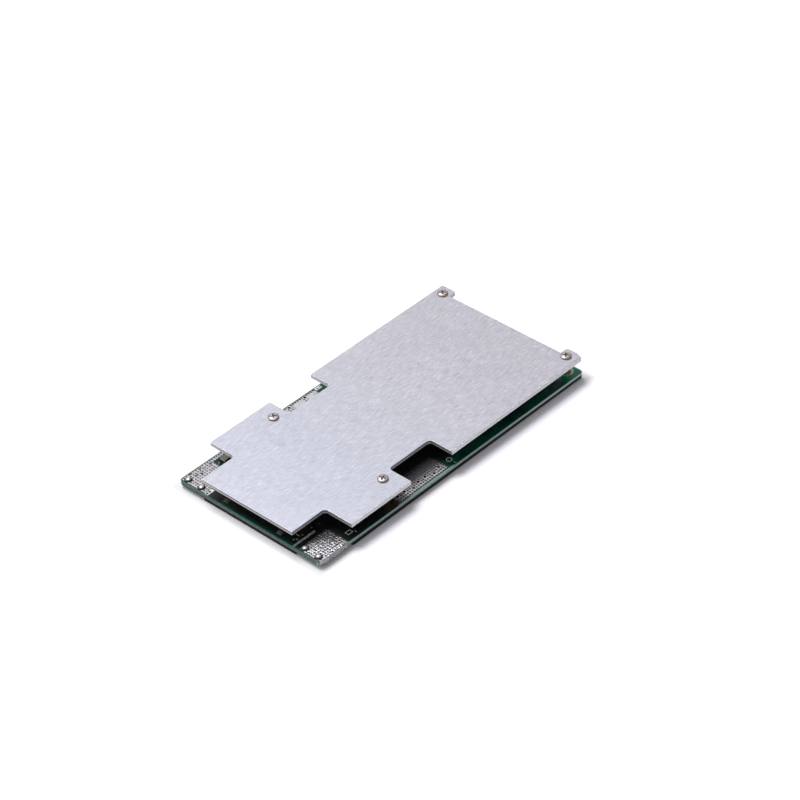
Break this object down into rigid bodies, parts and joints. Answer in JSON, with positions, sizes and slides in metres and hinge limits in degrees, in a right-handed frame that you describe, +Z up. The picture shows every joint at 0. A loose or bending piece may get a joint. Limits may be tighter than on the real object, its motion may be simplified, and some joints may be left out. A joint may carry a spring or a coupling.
{
  "type": "battery management board",
  "caption": "Circuit board with tinned cable pads under a notched aluminium heat plate on brass spacers, with hidden power transistors and a cell header.",
  "frame": {"origin": "middle of the underside that the board rests on", "axes": "+X along the board, from the cable pads to the cell header; +Y across the board, to the side whose notches are a little shallower; +Z up, out of the heat plate"},
  "size_m": [0.1296, 0.065, 0.0101],
  "materials": {
    "fr4_green": "glossy solder mask",
    "sheet_black": "dull black sheet",
    "plate_aluminium": "brushed along the board",
    "screw_nickel": "nickel plated",
    "spacer_brass": "plain turned",
    "tin": "rough tinned",
    "solder": "shiny solder",
    "moulded_black": "matt moulded",
    "tinned_leads": "dull tin",
    "thermal_pad": "soft",
    "resistor_dark": "glazed film",
    "header_ivory": "moulded nylon",
    "ceramic_tan": "fired ceramic"
  },
  "bodies": {
    "root": {"circuit_board": "fr4_green", "underside_sheet": "sheet_black", "heat_plate": "plate_aluminium", "plate_screws": "screw_nickel", "brass_spacers": "spacer_brass", "spacer_lands": "tin", "low_corner_pad": "tin", "high_corner_pad": "tin", "low_side_pad": "tin", "high_side_pad": "tin", "solder_domes": "solder", "tinned_strip": "tin", "charge_transistors": "moulded_black", "charge_transistor_tabs": "tinned_leads", "discharge_transistors": "moulded_black", "discharge_transistor_tabs": "tinned_leads", "thermal_strips": "thermal_pad", "shunt_resistors": "resistor_dark", "cell_header": "header_ivory", "cell_header_pins": "tinned_leads", "monitor_chip": "moulded_black", "controller_chip": "moulded_black", "chip_leads": "tinned_leads", "gate_drivers": "moulded_black", "gate_driver_leads": "tinned_leads", "regulator": "moulded_black", "regulator_leads": "tinned_leads", "balance_resistors": "resistor_dark", "balance_transistors": "moulded_black", "filter_capacitors": "ceramic_tan", "bulk_capacitors": "ceramic_tan", "surge_diodes": "moulded_black", "corner_capacitor": "ceramic_tan", "edge_resistors": "resistor_dark", "thermistor": "resistor_dark"}
  },
  "joints": []
}
